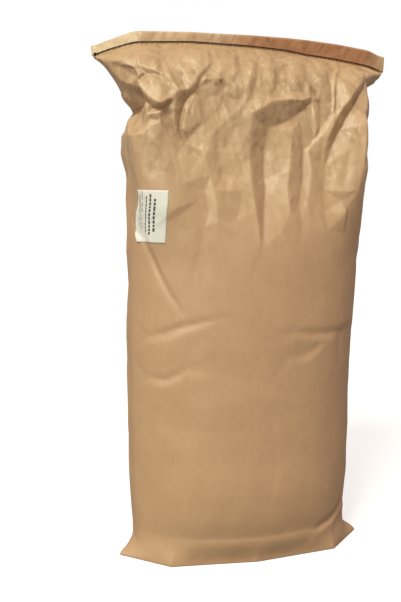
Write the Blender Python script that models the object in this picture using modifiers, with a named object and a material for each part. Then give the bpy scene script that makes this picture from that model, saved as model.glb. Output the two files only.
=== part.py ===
"""A tall sewn kraft paper sack, filled and standing on its base.

Metres, +Z up, the front faces -Y, and the origin is the centre of the base on the floor.
One wall function gives every layer its shape: the tube, the fill, the label and the lap.
"""

import math

import bpy
import numpy as np

# Driving dimensions of the sack
GIRTH = 1.10  # all the way round the tube
PAPER = 0.0010  # all plies of the wall together
GAP = 0.0003  # between neighbouring pieces
HEM_HALF_DEPTH = 0.0016  # the closed mouth, from its middle to its face
BASE_LIFT = 0.0013  # the underside of the tube above the floor

FRONT_COLUMNS = 22  # of the tube's faces

# Heights of the wall's zones
BASE_FORM_HEIGHT = 0.045  # the base's six corners fade out over this height
EAR_HEIGHT = 0.030  # and its ears over this one
CROWN_START = 0.70  # the wall leans in to the mouth from here up
SEAM_HEIGHT = 0.868  # the middle of the sewn line, before its own curve

# The base: a six-cornered pasted bottom with an ear at each side
BASE_HALF_WIDTH = 0.140
BASE_HALF_DEPTH = 0.087
EAR_REACH = 0.224
EAR_FORWARD = 0.014  # the ears point a little to the front
BASE_CORNER_COLUMNS = 5  # from a side fold to the base's next corner

# Sections of the filled wall: height, half depth, left side, right side
SECTIONS = [
    (0.050, 0.126, -0.195, 0.194),
    (0.080, 0.135, -0.197, 0.196),
    (0.116, 0.137, -0.199, 0.198),
    (0.190, 0.137, -0.201, 0.200),
    (0.340, 0.135, -0.2025, 0.203),
    (0.444, 0.131, -0.2015, 0.209),
    (0.550, 0.119, -0.199, 0.2125),
    (0.620, 0.101, -0.1935, 0.206),
    (0.700, 0.084, -0.200, 0.2135),
    (0.785, 0.075, -0.205, 0.218),
    (0.830, 0.055, -0.226, 0.234),
    (0.850, 0.035, -0.238, 0.256),
    (0.868, HEM_HALF_DEPTH, -0.2535, 0.2755),
]

# The filled body is round, and above the fill the section turns into a flat box
BODY_ROUNDNESS = 0.45  # how much of a dome the front and the back have
BODY_CORNER = 0.80  # corner radius, as a share of the half depth
CROWN_CORNER = 0.45
BOX_START = 0.50  # heights between which the body turns into the box
BOX_END = 0.66

# The mouth's crooked line: across, depth, sewn line, top edge
MOUTH = [
    (-0.2535, 0.030, 0.862, 0.875),
    (-0.226, 0.008, 0.872, 0.886),
    (-0.187, -0.012, 0.880, 0.896),
    (-0.097, -0.020, 0.883, 0.897),
    (0.010, -0.015, 0.881, 0.897),
    (0.078, -0.010, 0.877, 0.896),
    (0.117, -0.005, 0.872, 0.895),
    (0.174, 0.000, 0.867, 0.891),
    (0.241, 0.010, 0.859, 0.884),
    (0.2755, 0.020, 0.851, 0.875),
]

# Folds: side of the sack, half width, and points of across, height and outward shift
FOLDS = [
    ("left", 0.060, [(-0.215, 0.815, -0.008), (-0.212, 0.772, -0.030), (-0.212, 0.745, -0.006)]),
    ("front", 0.032, [(-0.190, 0.800, -0.008), (-0.192, 0.770, -0.018), (-0.205, 0.745, -0.010)]),
    ("front", 0.024, [(-0.197, 0.815, 0.004), (-0.180, 0.782, 0.010), (-0.149, 0.781, 0.008)]),
    ("front", 0.022, [(-0.089, 0.824, -0.003), (-0.118, 0.790, -0.010), (-0.138, 0.737, -0.006)]),
    ("front", 0.030, [(-0.021, 0.776, 0.006), (0.029, 0.785, 0.012), (0.095, 0.788, 0.010)]),
    ("front", 0.045, [(0.013, 0.742, -0.010), (0.050, 0.744, -0.014), (0.090, 0.752, -0.008)]),
    ("front", 0.026, [(-0.012, 0.740, 0.004), (-0.012, 0.653, 0.007), (0.002, 0.560, 0.001)]),
    ("front", 0.022, [(0.012, 0.730, -0.008), (0.010, 0.640, -0.009), (0.003, 0.571, -0.002)]),
    ("front", 0.028, [(0.054, 0.700, 0.008), (0.055, 0.640, 0.010), (0.050, 0.585, 0.002)]),
    ("front", 0.024, [(0.079, 0.720, -0.006), (0.077, 0.660, -0.008), (0.062, 0.596, -0.002)]),
    ("front", 0.024, [(0.187, 0.826, -0.006), (0.150, 0.785, -0.010), (0.110, 0.715, -0.008)]),
    ("front", 0.034, [(0.180, 0.790, 0.010), (0.165, 0.720, 0.013), (0.130, 0.610, 0.003)]),
    ("front", 0.022, [(0.157, 0.855, 0.003), (0.140, 0.820, 0.007), (0.129, 0.775, 0.005)]),
    ("front", 0.022, [(0.194, 0.705, -0.004), (0.178, 0.640, -0.007), (0.122, 0.572, -0.002)]),
    ("front", 0.020, [(-0.206, 0.596, -0.001), (-0.180, 0.520, -0.004), (-0.149, 0.462, -0.001)]),
    ("front", 0.020, [(-0.189, 0.405, -0.002), (-0.133, 0.421, -0.003), (-0.050, 0.430, -0.001)]),
    ("front", 0.020, [(0.058, 0.402, -0.002), (0.110, 0.396, -0.004), (0.166, 0.411, -0.003)]),
    ("right", 0.030, [(0.220, 0.780, -0.006), (0.222, 0.700, -0.010), (0.215, 0.640, -0.002)]),
    ("right", 0.030, [(0.200, 0.430, -0.002), (0.198, 0.395, -0.007), (0.196, 0.360, -0.002)]),
    ("back", 0.034, [(-0.160, 0.800, -0.006), (-0.120, 0.740, -0.013), (-0.090, 0.640, -0.002)]),
    ("back", 0.032, [(-0.110, 0.820, 0.004), (-0.060, 0.750, 0.010), (-0.040, 0.650, 0.002)]),
    ("back", 0.036, [(0.010, 0.790, -0.012), (0.020, 0.740, -0.012), (0.010, 0.600, -0.002)]),
    ("back", 0.030, [(0.060, 0.820, 0.006), (0.080, 0.740, 0.011), (0.070, 0.610, 0.002)]),
    ("back", 0.034, [(0.170, 0.810, -0.008), (0.140, 0.730, -0.012), (0.120, 0.620, -0.002)]),
    ("back", 0.022, [(-0.150, 0.360, -0.002), (-0.050, 0.380, -0.004), (0.080, 0.350, -0.002)]),
]

# The fill: dried cut leaf
FILL_INSET = 0.006
FILL_BASE_INSET = 0.013  # more, where the base's corners fold in
FILL_BOTTOM = 0.008
FILL_SHOULDER = 0.655
FILL_DOME = 0.030
FILL_RINGS = (0.93, 0.78, 0.56, 0.30)  # of the rim, over the dome
FILL_ROUGHNESS = 0.004
FILL_SEED = 7

# The tape over the mouth, and the two threads of the seam
TAPE = 0.0007
TAPE_HALF_GAP = HEM_HALF_DEPTH + GAP
TAPE_BELOW_SEAM = 0.003
HEM_BELOW_SEAM = 0.005
TAPE_OVERHANG = 0.0015
THREAD_RADIUS = 0.0007
KNOT_SCALE = 2.2

# The label, the pasted lap down the back and the cover sheet under the base
LABEL_SIZE = (0.066, 0.086)
LABEL_PLACE = (0.076, 0.599)  # along the girth from the left side fold, and height
LABEL_TURN = math.radians(-4)
SHEET = 0.0006
LAP_COLUMNS = 3  # the lap ends on columns of the wall
LAP_MIDDLE = 0.80  # share of the girth, from the left side fold
LAP_FOOT = 0.040
LAP_BELOW_SEAM = 0.012
PATCH_THICKNESS = 0.001
PATCH_SCALE = 0.93
PATCH_TIP_INSET = 0.030


def smooth(x):
    x = np.clip(x, 0.0, 1.0)
    return x * x * (3 - 2 * x)


def curve_through(points, column, x):
    """A smooth curve through one column of a table, by its first column."""
    table = np.array(points)
    known = table[:, 0]
    values = table[:, column]
    slopes = np.gradient(values, known)
    place = np.clip(np.searchsorted(known, x) - 1, 0, len(known) - 2)
    step = known[place + 1] - known[place]
    t = np.clip((x - known[place]) / step, 0.0, 1.0)
    start = (2 * t**3 - 3 * t**2 + 1) * values[place] + (t**3 - 2 * t**2 + t) * step * slopes[place]
    end = (3 * t**2 - 2 * t**3) * values[place + 1] + (t**3 - t**2) * step * slopes[place + 1]
    return start + end


def rounded_box(share, half_width, half_depth, flatness):
    """A point of the section: share runs from the left side fold, over the front, round to it again."""
    radius = half_depth * flatness
    side = half_depth - radius
    arc = radius * math.pi / 2
    front = half_width - radius
    quarter = side + arc + front
    back = share > 0.5
    along = np.where(back, 1.0 - share, share) * 4
    right = along > 1.0
    walk = np.where(right, 2.0 - along, along) * quarter
    angle = np.clip((walk - side) / np.maximum(radius, 1e-9), 0.0, math.pi / 2)
    past = np.maximum(walk - side - arc, 0.0)
    x = -half_width + radius * (1 - np.cos(angle)) + past
    y = -(np.minimum(walk, side) + radius * np.sin(angle))
    return np.where(right, -x, x), np.where(back, -y, y)


def base_outline(share):
    """A point of the six-cornered base."""
    back = share > 0.5
    along = np.where(back, 1.0 - share, share) * 2
    edge = HEM_HALF_DEPTH * 4 / GIRTH
    u = np.clip((along - edge) / (1 - 2 * edge), 0.0, 1.0)
    corner = BASE_CORNER_COLUMNS / FRONT_COLUMNS
    knots = [0.0, corner, 1 - corner, 1.0]
    x = np.interp(u, knots, [-EAR_REACH, -BASE_HALF_WIDTH, BASE_HALF_WIDTH, EAR_REACH])
    y = np.interp(u, knots, [HEM_HALF_DEPTH, BASE_HALF_DEPTH, BASE_HALF_DEPTH, HEM_HALF_DEPTH])
    ahead = np.interp(u, knots, [EAR_FORWARD, 0.0, 0.0, EAR_FORWARD])
    return x, np.where(back, y, -y) - ahead


def plain_wall(share, height):
    """The wall before its folds. Height is level in the body and follows the mouth in the crown."""
    half_depth = curve_through(SECTIONS, 1, np.minimum(height, SEAM_HEIGHT))
    left = curve_through(SECTIONS, 2, np.minimum(height, SEAM_HEIGHT))
    right = curve_through(SECTIONS, 3, np.minimum(height, SEAM_HEIGHT))
    half_depth = np.maximum(half_depth, HEM_HALF_DEPTH)
    crown = smooth((height - CROWN_START) / (SEAM_HEIGHT - CROWN_START))
    boxy = smooth((height - BOX_START) / (BOX_END - BOX_START))
    corner = BODY_CORNER + (CROWN_CORNER - BODY_CORNER) * boxy * (1 - crown)
    flatness = np.where(height >= SEAM_HEIGHT, 0.0, corner)
    x, y = rounded_box(share, (right - left) / 2, half_depth, flatness)
    dome = half_depth * (1 - (2 * x / (right - left)) ** 2)
    roundness = BODY_ROUNDNESS * (1 - boxy)
    y = y * (1 - roundness) + np.where(share > 0.5, dome, -dome) * roundness
    x = x + (left + right) / 2
    base_x, base_y = base_outline(share)
    x = base_x + (x - base_x) * smooth(height / EAR_HEIGHT)
    y = base_y + (y - base_y) * smooth(height / BASE_FORM_HEIGHT)
    y = y + crown * curve_through(MOUTH, 1, x)
    climb = np.clip((height - CROWN_START) / (SEAM_HEIGHT - CROWN_START), 0.0, 1.0)
    hem = np.maximum(height - SEAM_HEIGHT, 0.0)
    hem_start = curve_through(MOUTH, 2, x) - HEM_BELOW_SEAM
    z = height + climb * (hem_start - SEAM_HEIGHT)
    z = np.where(height > SEAM_HEIGHT, hem_start + hem * (curve_through(MOUTH, 3, x) - hem_start), z)
    return np.stack([x, y, z], -1)


def wall_share(side, x, height):
    """Where a fold's point lies round the girth, found by its place across the side."""
    if side == "left":
        return 0.0
    if side == "right":
        return 0.5
    shares = np.linspace(0.0, 0.5, 201)
    across = plain_wall(shares, np.full(201, height))[:, 0]
    share = float(np.interp(x, across, shares))
    return share if side == "front" else 1.0 - share


def fold_lines():
    """Each fold as points on the plain wall, with its shifts and half width."""
    lines = []
    for side, half_width, points in FOLDS:
        shares = np.array([wall_share(side, x, z) for x, z, _ in points])
        heights = np.array([z for _, z, _ in points])
        lines.append((plain_wall(shares, heights), [shift for *_, shift in points], half_width))
    return lines


def fold_shift(places, lines):
    """The outward shift at each place: every fold is a tent along its line."""
    total = np.zeros(len(places))
    for line, shifts, half_width in lines:
        best = np.zeros(len(places))
        for start, end, first, last in zip(line[:-1], line[1:], shifts[:-1], shifts[1:]):
            run = end - start
            t = np.clip((places - start) @ run / (run @ run), 0.0, 1.0)
            reach = np.linalg.norm(places - start - t[:, None] * run, axis=1)
            shift = (first + (last - first) * t) * np.maximum(1 - reach / half_width, 0.0)
            best = np.where(np.abs(shift) > np.abs(best), shift, best)
        total += best
    return total


def outward(share, height):
    """The level direction that points out of the wall."""
    step = 0.004
    ahead = plain_wall((share + step) % 1.0, height)
    behind = plain_wall((share - step) % 1.0, height)
    along = ahead - behind
    normal = np.stack([along[:, 1], -along[:, 0], np.zeros(len(along))], -1)
    return normal / np.maximum(np.linalg.norm(normal, axis=1), 1e-9)[:, None]


def wall(share, height, inset, lines):
    """The folded wall, moved in by the inset."""
    share = np.asarray(share, float)
    height = np.asarray(height, float)
    places = plain_wall(share, height)
    fade = smooth((SEAM_HEIGHT - 0.006 - height) / 0.03)
    shift = fold_shift(places, lines) * fade - inset
    return places + outward(share, height) * shift[:, None]


def wall_shares():
    """The columns: two at each side fold, the front and the back between them."""
    edge = HEM_HALF_DEPTH / GIRTH
    front = np.linspace(edge, 0.5 - edge, FRONT_COLUMNS + 1)
    return np.concatenate([front, 1.0 - front[::-1]])


def wall_heights():
    """The rows: close together at the base, through the folds and at the hem."""
    low = [0.0, 0.008, 0.020, 0.034, 0.050, 0.080]
    body = list(np.linspace(0.12, 0.52, 9))
    folds = list(np.linspace(0.55, CROWN_START, 8))
    crown = list(np.linspace(CROWN_START, SEAM_HEIGHT, 13)[1:])
    return np.array(low + body + folds + crown + [SEAM_HEIGHT + 0.5, SEAM_HEIGHT + 1.0])


def material(name, colour, roughness):
    made = bpy.data.materials.new(name)
    made.use_nodes = True
    shader = made.node_tree.nodes["Principled BSDF"]
    shader.inputs["Base Color"].default_value = (*colour, 1)
    shader.inputs["Roughness"].default_value = roughness
    shader.inputs["Metallic"].default_value = 0.0
    return made


def add_node(name, points, faces, paint, collection):
    mesh = bpy.data.meshes.new(name)
    mesh.from_pydata([tuple(map(float, point)) for point in points], [], faces)
    mesh.materials.append(paint)
    made = bpy.data.objects.new(name, mesh)
    collection.objects.link(made)
    return made


def thicken(made, thickness, offset):
    shell = made.modifiers.new("Paper", "SOLIDIFY")
    shell.thickness = thickness
    shell.offset = offset


def ring_faces(rows, columns):
    """Faces between rings of points, turned outward for rings that run over the front from the left."""
    faces = []
    for row in range(rows - 1):
        for column in range(columns):
            after = (column + 1) % columns
            low = row * columns
            high = low + columns
            faces.append((low + column, low + after, high + after, high + column))
    return faces


def sack_tube(paint, collection, lines):
    shares = wall_shares()
    heights = wall_heights()
    rows = [wall(shares, np.full(len(shares), height), 0.0, lines) for height in heights]
    rows = np.array(rows)
    rows[0, :, 2] = BASE_LIFT
    faces = ring_faces(len(heights), len(shares))
    faces.append(tuple(reversed(range(len(shares)))))
    made = add_node("sack_tube", rows.reshape(-1, 3), faces, paint, collection)
    thicken(made, PAPER, -1)


def leaf_fill(paint, collection, lines):
    """The fill keeps clear of the wall and ends in a rough dome."""
    shares = wall_shares()
    heights = wall_heights()
    heights = heights[(heights >= FILL_BOTTOM) & (heights < FILL_SHOULDER)]
    noise = np.random.default_rng(FILL_SEED)
    rings = []
    for height in heights:
        inset = FILL_INSET + FILL_BASE_INSET * (1 - smooth(height / BASE_FORM_HEIGHT))
        rings.append(wall(shares, np.full(len(shares), height), inset, lines))
    rim = rings[-1]
    middle = rim.mean(axis=0)
    for scale in FILL_RINGS:
        ring = middle + (rim - middle) * scale
        ring[:, 2] = middle[2] + FILL_DOME * (1 - scale**2)
        ring[:, 2] += noise.uniform(-FILL_ROUGHNESS, FILL_ROUGHNESS, len(ring))
        rings.append(ring)
    faces = ring_faces(len(rings), len(shares))
    faces.append(tuple(reversed(range(len(shares)))))
    points = list(np.concatenate(rings))
    points.append(middle + np.array([0, 0, FILL_DOME]))
    last = (len(rings) - 1) * len(shares)
    for column in range(len(shares)):
        faces.append((last + column, last + (column + 1) % len(shares), len(points) - 1))
    add_node("leaf_fill", points, faces, paint, collection)


def tape_stations():
    """Places across the sack where the tape bends: the front columns and a little past each end."""
    front = wall_shares()[: FRONT_COLUMNS + 1]
    across = plain_wall(front, np.full(len(front), SEAM_HEIGHT + 1.0))[:, 0]
    return np.concatenate([[across[0] - TAPE_OVERHANG], across, [across[-1] + TAPE_OVERHANG]])


def closure_tape(paint, collection):
    """A folded strip over the mouth, as a U with two legs."""
    stations = tape_stations()
    depth = curve_through(MOUTH, 1, stations)
    foot = curve_through(MOUTH, 2, stations) - TAPE_BELOW_SEAM
    top = curve_through(MOUTH, 3, stations) + GAP
    inner = TAPE_HALF_GAP
    outer = inner + TAPE
    rings = []
    for x, y, low, high in zip(stations, depth, foot, top):
        profile = [(-outer, low), (-outer, high), (-inner, high + TAPE)]
        profile += [(inner, high + TAPE), (outer, high), (outer, low)]
        profile += [(inner, low), (inner, high), (-inner, high), (-inner, low)]
        rings += [(x, y + side, z) for side, z in profile]
    count = 10
    faces = []
    for station in range(len(stations) - 1):
        for corner in range(count):
            after = (corner + 1) % count
            here = station * count
            there = here + count
            faces.append((here + corner, there + corner, there + after, here + after))
    end = (len(stations) - 1) * count
    strips = [(0, 1, 8, 9), (1, 2, 8), (2, 3, 7, 8), (3, 4, 7), (4, 5, 6, 7)]
    for strip in strips:
        faces.append(strip)
        faces.append(tuple(end + corner for corner in reversed(strip)))
    add_node("closure_tape", rings, faces, paint, collection)


def thread(name, side, paint, collection):
    """One thread of the seam: side is -1 on the front and 1 on the back."""
    away = TAPE_HALF_GAP + TAPE + 2 * GAP + THREAD_RADIUS
    route = bpy.data.curves.new(name, "CURVE")
    route.dimensions = "3D"
    route.bevel_depth = THREAD_RADIUS
    route.bevel_resolution = 1
    route.use_fill_caps = True
    stations = tape_stations()[1:-1]
    line = route.splines.new("POLY")
    line.points.add(len(stations) - 1)
    depth = curve_through(MOUTH, 1, stations)
    height = curve_through(MOUTH, 2, stations)
    for index, point in enumerate(line.points):
        knot = KNOT_SCALE if index in (1, 2) else 1.0
        offset = away + THREAD_RADIUS * (knot - 1)
        point.co = (stations[index], depth[index] + side * offset, height[index], 1)
        point.radius = knot
    route.materials.append(paint)
    made = bpy.data.objects.new(name, route)
    collection.objects.link(made)


def label(paint, collection, lines):
    """The label follows the wall round the left front corner."""
    columns = 7
    rows = 7
    across = np.linspace(-0.5, 0.5, columns) * LABEL_SIZE[0]
    up = np.linspace(-0.5, 0.5, rows) * LABEL_SIZE[1]
    grid_across, grid_up = np.meshgrid(across, up)
    along = grid_across * math.cos(LABEL_TURN) - grid_up * math.sin(LABEL_TURN)
    rise = grid_across * math.sin(LABEL_TURN) + grid_up * math.cos(LABEL_TURN)
    shares = (LABEL_PLACE[0] + along.ravel()) / GIRTH
    points = wall(shares, LABEL_PLACE[1] + rise.ravel(), -GAP * 3, lines)
    faces = []
    for row in range(rows - 1):
        for column in range(columns - 1):
            low = row * columns + column
            faces.append((low, low + 1, low + columns + 1, low + columns))
    made = add_node("label", points, faces, paint, collection)
    thicken(made, SHEET, 1)


def back_lap(paint, collection, lines):
    """The pasted lap of the tube, down the back from below the tape to above the base."""
    heights = wall_heights()
    heights = heights[(heights > LAP_FOOT) & (heights < SEAM_HEIGHT - LAP_BELOW_SEAM)]
    columns = wall_shares()
    nearest = np.argsort(np.abs(columns - LAP_MIDDLE))[:LAP_COLUMNS]
    shares = np.sort(columns[nearest])
    grid = [wall(shares, np.full(len(shares), height), -GAP * 3, lines) for height in heights]
    count = len(shares)
    faces = []
    for row in range(len(heights) - 1):
        for column in range(count - 1):
            low = row * count + column
            faces.append((low, low + 1, low + count + 1, low + count))
    made = add_node("back_lap", np.concatenate(grid), faces, paint, collection)
    thicken(made, SHEET, 1)


def bottom_patch(paint, collection):
    """The cover sheet pasted under the base, flat on the floor."""
    across = BASE_HALF_WIDTH * PATCH_SCALE
    depth = BASE_HALF_DEPTH * PATCH_SCALE
    tip = EAR_REACH * PATCH_SCALE - PATCH_TIP_INSET
    outline = [(-tip, -EAR_FORWARD), (-across, -depth), (across, -depth)]
    outline += [(tip, -EAR_FORWARD), (across, depth), (-across, depth)]
    points = [(x, y, z) for z in (0.0, PATCH_THICKNESS) for x, y in outline]
    count = len(outline)
    faces = [tuple(reversed(range(count))), tuple(range(count, 2 * count))]
    for corner in range(count):
        after = (corner + 1) % count
        faces.append((corner, after, count + after, count + corner))
    add_node("bottom_patch", points, faces, paint, collection)


def main():
    for old in list(bpy.data.objects):
        bpy.data.objects.remove(old, do_unlink=True)
    collection = bpy.data.collections.new("kraft_paper_sack")
    bpy.context.scene.collection.children.link(collection)
    kraft = material("Kraft", (0.50, 0.31, 0.17), 0.72)
    tape_paper = material("Tape kraft", (0.55, 0.37, 0.22), 0.70)
    navy = material("Navy thread", (0.02, 0.025, 0.05), 0.8)
    white = material("Label paper", (0.75, 0.73, 0.66), 0.6)
    leaf = material("Dried leaf", (0.06, 0.09, 0.035), 0.9)
    lines = fold_lines()
    sack_tube(kraft, collection, lines)
    leaf_fill(leaf, collection, lines)
    closure_tape(tape_paper, collection)
    thread("needle_thread", -1, navy, collection)
    thread("looper_thread", 1, navy, collection)
    label(white, collection, lines)
    back_lap(kraft, collection, lines)
    bottom_patch(kraft, collection)


main()
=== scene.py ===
import math

import bmesh
import bpy
import numpy as np
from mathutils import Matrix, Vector
from mathutils.geometry import delaunay_2d_cdt


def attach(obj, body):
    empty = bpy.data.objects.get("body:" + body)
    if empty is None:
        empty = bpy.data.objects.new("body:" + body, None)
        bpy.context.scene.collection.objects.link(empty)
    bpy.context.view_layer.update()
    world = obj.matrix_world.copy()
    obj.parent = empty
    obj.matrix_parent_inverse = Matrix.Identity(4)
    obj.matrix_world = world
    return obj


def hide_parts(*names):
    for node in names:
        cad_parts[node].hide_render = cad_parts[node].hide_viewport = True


# %% [markdown]
# A tall kraft paper sack, sewn shut under a folded tape. Paper doesn't stretch, so it
# shows its fill as a smooth round body, and everything that is left over above the fill
# becomes flat facets between sharp creases. The frame holds the plain solids, and each
# step below lays one finished piece over them, in metres, with the front facing -Y.

# %% Load the frame
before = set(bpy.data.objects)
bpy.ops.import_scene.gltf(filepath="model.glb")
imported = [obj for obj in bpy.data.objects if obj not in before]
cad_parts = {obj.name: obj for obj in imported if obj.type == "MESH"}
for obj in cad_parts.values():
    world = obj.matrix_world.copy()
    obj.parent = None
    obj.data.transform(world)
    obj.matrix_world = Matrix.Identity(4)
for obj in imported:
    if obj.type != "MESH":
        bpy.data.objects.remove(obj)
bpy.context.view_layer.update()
ROOT = "root"
print("frame nodes:", sorted(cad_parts))

# %% [markdown]
# The camera stands a step to the left of the sack at about two thirds of its height and
# looks a little down, as a product photographer would do. The lens is given by its real
# focal length and the position by distance and angle, so both can be read as a real setup.

# %% Camera
CAMERA_AZIMUTH = math.radians(-18)
CAMERA_DISTANCE = 1.593
CAMERA_HEIGHT = 0.637
CAMERA_PITCH = math.radians(7.03)
CAMERA_PAN = math.radians(2.545)
CAMERA_LENS = 53.82

camera_data = bpy.data.cameras.new("studio_camera")
camera_data.lens = CAMERA_LENS
camera_data.sensor_width = 36.0
camera = bpy.data.objects.new("studio_camera", camera_data)
camera.location = (
    math.sin(CAMERA_AZIMUTH) * CAMERA_DISTANCE,
    -math.cos(CAMERA_AZIMUTH) * CAMERA_DISTANCE,
    CAMERA_HEIGHT,
)
camera.rotation_euler = (math.pi / 2 - CAMERA_PITCH, 0, CAMERA_AZIMUTH + CAMERA_PAN)
bpy.context.scene.collection.objects.link(camera)
bpy.context.scene.camera = camera
print("camera at", [round(x, 3) for x in camera.location])

# %% [markdown]
# Two wide suns from the left make the creases readable: facets that face them turn light
# and yellowish, and facets that face away keep only the reddish light of the room. Wide
# angles keep the shadows soft. The camera sees a white backdrop and a pale floor that
# glows, but every other ray meets a plain grey floor, which doesn't light the sack up.

# %% Lights and floor
SUN_COLOUR = (0.95, 1.0, 0.84)
ROOM_COLOUR = (1.0, 0.77, 0.70, 1)
WHITE = (1, 1, 1, 1)
ROOM_STRENGTH = 0.50
FLOOR_GREY = (0.46, 0.46, 0.46, 1)
FLOOR_BOUNCE = (0.30, 0.30, 0.30, 1)  # the floor as the sack meets it
FLOOR_GLOW = 0.68  # keeps the shadow on the floor pale
FLOOR_SIZE = 60


def sun(name, azimuth, elevation, angle, strength):
    """A sun given by where it stands, in degrees, and how wide it is."""
    data = bpy.data.lights.new(name, "SUN")
    data.energy = strength
    data.angle = math.radians(angle)
    data.color = SUN_COLOUR
    light = bpy.data.objects.new(name, data)
    light.rotation_euler = (math.pi / 2 - math.radians(elevation), 0, math.radians(azimuth))
    bpy.context.scene.collection.objects.link(light)


def for_the_camera(tree, seen, unseen, output):
    """The camera sees one shader, and every other ray meets the other."""
    ray = tree.nodes.new("ShaderNodeLightPath")
    choice = tree.nodes.new("ShaderNodeMixShader")
    tree.links.new(ray.outputs["Is Camera Ray"], choice.inputs[0])
    tree.links.new(unseen.outputs[0], choice.inputs[1])
    tree.links.new(seen.outputs[0], choice.inputs[2])
    tree.links.new(choice.outputs[0], tree.nodes[output].inputs["Surface"])


sun("key_light", -35, 43, 14, 2.35)
sun("low_light", -60, 24, 35, 0.65)

world = bpy.data.worlds.new("pale_room")
world.use_nodes = True
room = world.node_tree.nodes["Background"]
room.inputs["Color"].default_value = ROOM_COLOUR
room.inputs["Strength"].default_value = ROOM_STRENGTH
backdrop = world.node_tree.nodes.new("ShaderNodeBackground")
backdrop.inputs["Color"].default_value = WHITE
for_the_camera(world.node_tree, backdrop, room, "World Output")
bpy.context.scene.world = world
bpy.context.scene.view_settings.view_transform = "Standard"

bpy.ops.mesh.primitive_plane_add(size=FLOOR_SIZE, location=(0, 0, 0))
floor = bpy.context.object
floor.name = "floor"
floor_paint = bpy.data.materials.new("Pale floor")
floor_paint.use_nodes = True
floor_shader = floor_paint.node_tree.nodes["Principled BSDF"]
floor_shader.inputs["Base Color"].default_value = FLOOR_GREY
floor_shader.inputs["Roughness"].default_value = 0.9
floor_shader.inputs["Emission Color"].default_value = WHITE
floor_shader.inputs["Emission Strength"].default_value = FLOOR_GLOW
floor_bounce = floor_paint.node_tree.nodes.new("ShaderNodeBsdfDiffuse")
floor_bounce.inputs["Color"].default_value = FLOOR_BOUNCE
for_the_camera(floor_paint.node_tree, floor_shader, floor_bounce, "Material Output")
floor.data.materials.append(floor_paint)

# %% [markdown]
# A paper tube keeps its girth wherever it is squeezed: it is flat at the mouth and nearly
# round where it is filled. So the sack is described by the girth and by a few sections, and every
# layer asks the same wall function for its place. The mouth isn't straight: it bends, its
# top edge slants, and the band over the seam leans back at one end and ahead at the other.

# %% Driving dimensions
GIRTH = 1.10
GAP = 0.0003  # between neighbouring pieces
HEM_HALF_DEPTH = 0.0016  # the closed mouth, from its middle to its face
HEM_BELOW_SEAM = 0.003
CROWN_START = 0.70  # the wall leans in to the mouth from here up
SEAM_HEIGHT = 0.868
BASE_LIFT = 0.0013  # the cover sheet lies under it
BASE_FORM_HEIGHT = 0.045  # the base's corners fade out over this height
BASE_HALF_WIDTH = 0.150
BASE_HALF_DEPTH = 0.090
BASE_BULGE = 0.018  # how far the base's long edges stand out in the middle
BASE_CORNER = 5 / 22  # from a side fold to the base's next corner, as a share of the front
EAR_HEIGHT = 0.030
EAR_REACH = 0.224
EAR_FORWARD = 0.014
BODY_ROUNDNESS = 0.45  # how much of a dome the front and the back have
BODY_CORNER = 0.80  # corner radius, as a share of the half depth
CROWN_CORNER = 0.45
BOX_START = 0.50  # heights between which the round body turns into the box
BOX_END = 0.66

# Height, half depth, left side and right side of the filled wall
SECTIONS = np.array([
    (0.050, 0.121, -0.195, 0.194),
    (0.080, 0.131, -0.197, 0.196),
    (0.116, 0.137, -0.199, 0.198),
    (0.190, 0.137, -0.201, 0.200),
    (0.340, 0.135, -0.2025, 0.203),
    (0.444, 0.131, -0.2015, 0.209),
    (0.550, 0.119, -0.199, 0.2125),
    (0.620, 0.101, -0.1935, 0.201),
    (0.700, 0.084, -0.200, 0.2105),
    (0.785, 0.075, -0.205, 0.218),
    (0.830, 0.055, -0.226, 0.234),
    (0.850, 0.035, -0.238, 0.256),
    (0.868, HEM_HALF_DEPTH, -0.2535, 0.2755),
])

# Across, depth, sewn line and top edge of the crooked mouth
MOUTH = np.array([
    (-0.2535, 0.030, 0.862, 0.875),
    (-0.226, 0.011, 0.871, 0.8845),
    (-0.190, -0.012, 0.880, 0.896),
    (-0.097, -0.020, 0.883, 0.897),
    (0.010, -0.015, 0.881, 0.8965),
    (0.078, -0.010, 0.877, 0.895),
    (0.117, -0.005, 0.872, 0.8935),
    (0.174, 0.000, 0.867, 0.8895),
    (0.241, 0.010, 0.859, 0.8825),
    (0.2755, 0.020, 0.851, 0.875),
])
MOUTH_BEND = 0.007  # paper rounds each bend of the mouth over this much
# Across, and how far the band over the seam leans to the front
LEAN = np.array([
    (-0.25, -0.25),
    (-0.195, -0.20),
    (-0.18, 0.0),
    (-0.06, 0.06),
    (0.0, 0.22),
    (0.06, 0.38),
    (0.235, 0.44),
    (0.26, 0.10),
])


def smooth(x):
    x = np.clip(x, 0.0, 1.0)
    return x * x * (3 - 2 * x)


def section_curve(column, height):
    """A smooth curve through one column of the sections."""
    known = SECTIONS[:, 0]
    values = SECTIONS[:, column]
    slopes = np.gradient(values, known)
    place = np.clip(np.searchsorted(known, height) - 1, 0, len(known) - 2)
    step = known[place + 1] - known[place]
    t = np.clip((height - known[place]) / step, 0.0, 1.0)
    start = (2 * t**3 - 3 * t**2 + 1) * values[place] + (t**3 - 2 * t**2 + t) * step * slopes[place]
    end = (3 * t**2 - 2 * t**3) * values[place + 1] + (t**3 - t**2) * step * slopes[place + 1]
    return start + end


def mouth_curve(column, x):
    """Straight stretches of the mouth with slightly rounded bends."""
    shifts = np.linspace(-MOUTH_BEND, MOUTH_BEND, 5)
    return np.mean([np.interp(x + shift, MOUTH[:, 0], MOUTH[:, column]) for shift in shifts], axis=0)


def hem_lean(x, z):
    """How far the hem and its tape lean to the front, over the sewn line."""
    slope = np.interp(x, LEAN[:, 0], LEAN[:, 1])
    return slope * np.maximum(z - mouth_curve(2, x), 0.0)


print("sections:", len(SECTIONS), "mouth bends:", len(MOUTH))

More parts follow.
